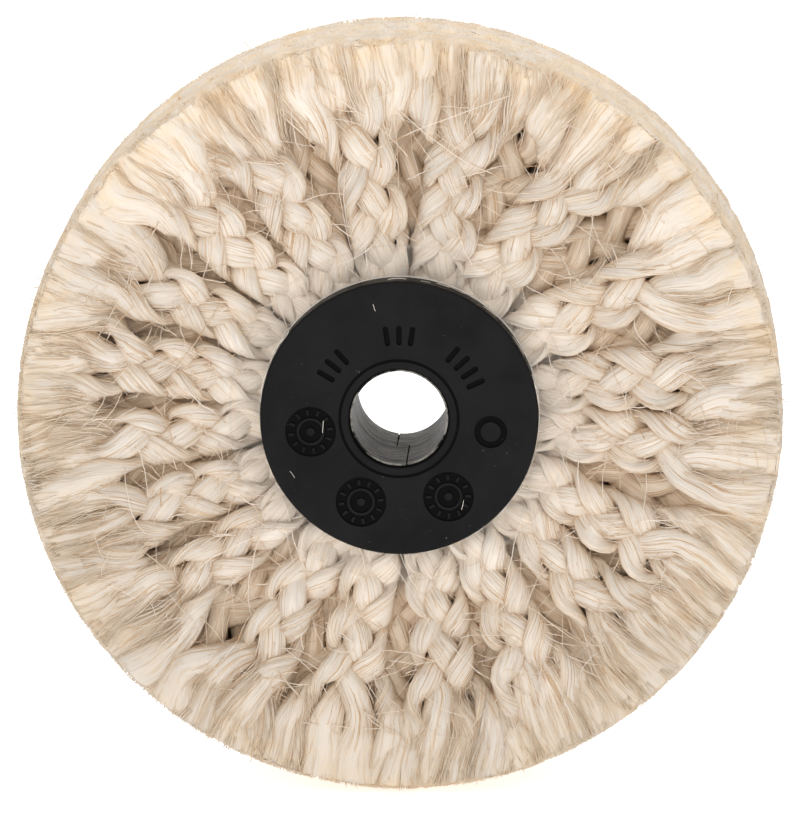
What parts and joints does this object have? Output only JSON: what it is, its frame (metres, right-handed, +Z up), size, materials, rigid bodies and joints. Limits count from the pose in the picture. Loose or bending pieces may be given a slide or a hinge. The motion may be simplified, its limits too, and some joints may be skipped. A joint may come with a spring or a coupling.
{
  "type": "polishing wheel",
  "caption": "Round polishing wheel of braided sisal with frayed, trimmed ends, clamped on a black flanged plastic hub with a plain through bore.",
  "frame": {"origin": "centre of the wheel, on the spin axis, halfway between the two flange faces", "axes": "+Y along the spin axis from the front face to the rear face, +Z up, +X to the right seen from the front"},
  "size_m": [0.154, 0.032, 0.154],
  "materials": {
    "sisal": "braided natural fibre, softly glossy, frayed at the ends",
    "black_plastic": "satin moulded plastic with fine grain",
    "sleeve_steel": "rolled sheet with fine scuffs round the bore",
    "wire_steel": "drawn wire",
    "clear_plastic": "clear polished sheet"
  },
  "bodies": {
    "root": {"front_flange": "black_plastic", "rear_flange": "black_plastic", "bore_sleeve": "sleeve_steel", "front_washer": "clear_plastic", "rear_washer": "clear_plastic", "front_core_ring": "wire_steel", "rear_core_ring": "wire_steel", "front_braid_01": "sisal", "front_braid_02": "sisal", "front_braid_03": "sisal", "front_braid_04": "sisal", "front_braid_05": "sisal", "front_braid_06": "sisal", "front_braid_07": "sisal", "front_braid_08": "sisal", "front_braid_09": "sisal", "front_braid_10": "sisal", "front_braid_11": "sisal", "front_braid_12": "sisal", "front_braid_13": "sisal", "front_braid_14": "sisal", "front_braid_15": "sisal", "front_braid_16": "sisal", "front_braid_17": "sisal", "front_braid_18": "sisal", "front_braid_19": "sisal", "rear_braid_01": "sisal", "rear_braid_02": "sisal", "rear_braid_03": "sisal", "rear_braid_04": "sisal", "rear_braid_05": "sisal", "rear_braid_06": "sisal", "rear_braid_07": "sisal", "rear_braid_08": "sisal", "rear_braid_09": "sisal", "rear_braid_10": "sisal", "rear_braid_11": "sisal", "rear_braid_12": "sisal", "rear_braid_13": "sisal", "rear_braid_14": "sisal", "rear_braid_15": "sisal", "rear_braid_16": "sisal", "rear_braid_17": "sisal", "rear_braid_18": "sisal", "rear_braid_19": "sisal"}
  },
  "joints": []
}
